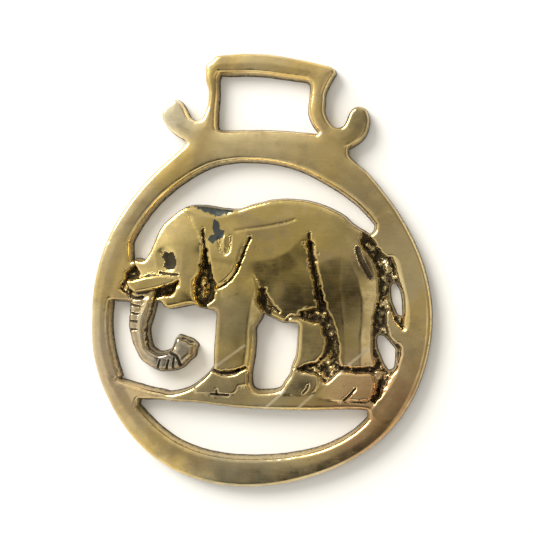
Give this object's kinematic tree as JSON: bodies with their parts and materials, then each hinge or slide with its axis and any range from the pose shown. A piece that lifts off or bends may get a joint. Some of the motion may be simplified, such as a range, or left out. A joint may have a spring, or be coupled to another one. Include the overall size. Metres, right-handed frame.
{
  "type": "horse brass",
  "caption": "Cast brass harness ornament: an elephant in relief standing in an open ring, with a strap loop and two small horns at the top.",
  "frame": {"origin": "centre of the flat back, under the middle of the object's box", "axes": "+Z out of the front, up when it lies on its back; +Y towards the strap loop; +X to the elephant's tail"},
  "size_m": [0.0694, 0.0876, 0.0056],
  "materials": {
    "cast_brass": "polished, with darkened recesses"
  },
  "bodies": {
    "root": {"horse_brass": "cast_brass"}
  },
  "joints": []
}
